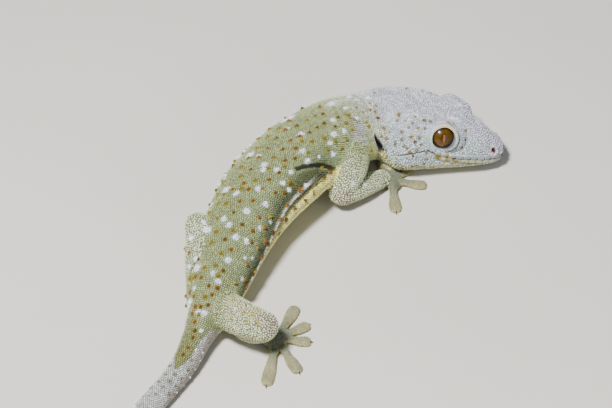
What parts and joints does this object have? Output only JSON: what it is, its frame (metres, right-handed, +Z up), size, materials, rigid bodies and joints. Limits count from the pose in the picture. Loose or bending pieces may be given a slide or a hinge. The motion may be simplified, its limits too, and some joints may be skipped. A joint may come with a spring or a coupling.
{
  "type": "tokay gecko",
  "caption": "Life-size model of a tokay gecko lying low, its body curved to the right, its head turned further and its tail trailing in a loose bend.",
  "frame": {"origin": "middle of the whole animal's bounding box in plan, on the level of the floor it rests on", "axes": "+Z up; the body lies along Y with the head at the +Y end and the tail at the -Y end; the snout points along +X, and the right flank faces +X and -Y"},
  "size_m": [0.1366, 0.238, 0.0275],
  "materials": {
    "skin_head": "pale lilac-grey fine granular skin with ochre flecks, matt with a slight sheen",
    "skin_green": "sage green scaled skin with rust-orange tubercles and pale blue-white spots, matt with a slight sheen",
    "skin_tail": "grey-green scaled skin with paler rings and dark dots, matt",
    "eye": "wet glossy amber-brown eye with a vertical slit"
  },
  "bodies": {
    "root": {"head": "skin_head", "eye_right": "eye", "eye_left": "eye", "neck": "skin_green", "chest": "skin_green", "belly": "skin_green", "pelvis": "skin_green", "tail_base": "skin_tail", "tail_middle": "skin_tail", "tail_end": "skin_tail", "right_upper_arm": "skin_green", "right_forearm": "skin_green", "right_hand": "skin_green", "right_thigh": "skin_green", "right_shin": "skin_green", "right_foot": "skin_green", "left_upper_arm": "skin_green", "left_forearm": "skin_green", "left_hand": "skin_green", "left_thigh": "skin_green", "left_shin": "skin_green", "left_foot": "skin_green"}
  },
  "joints": []
}
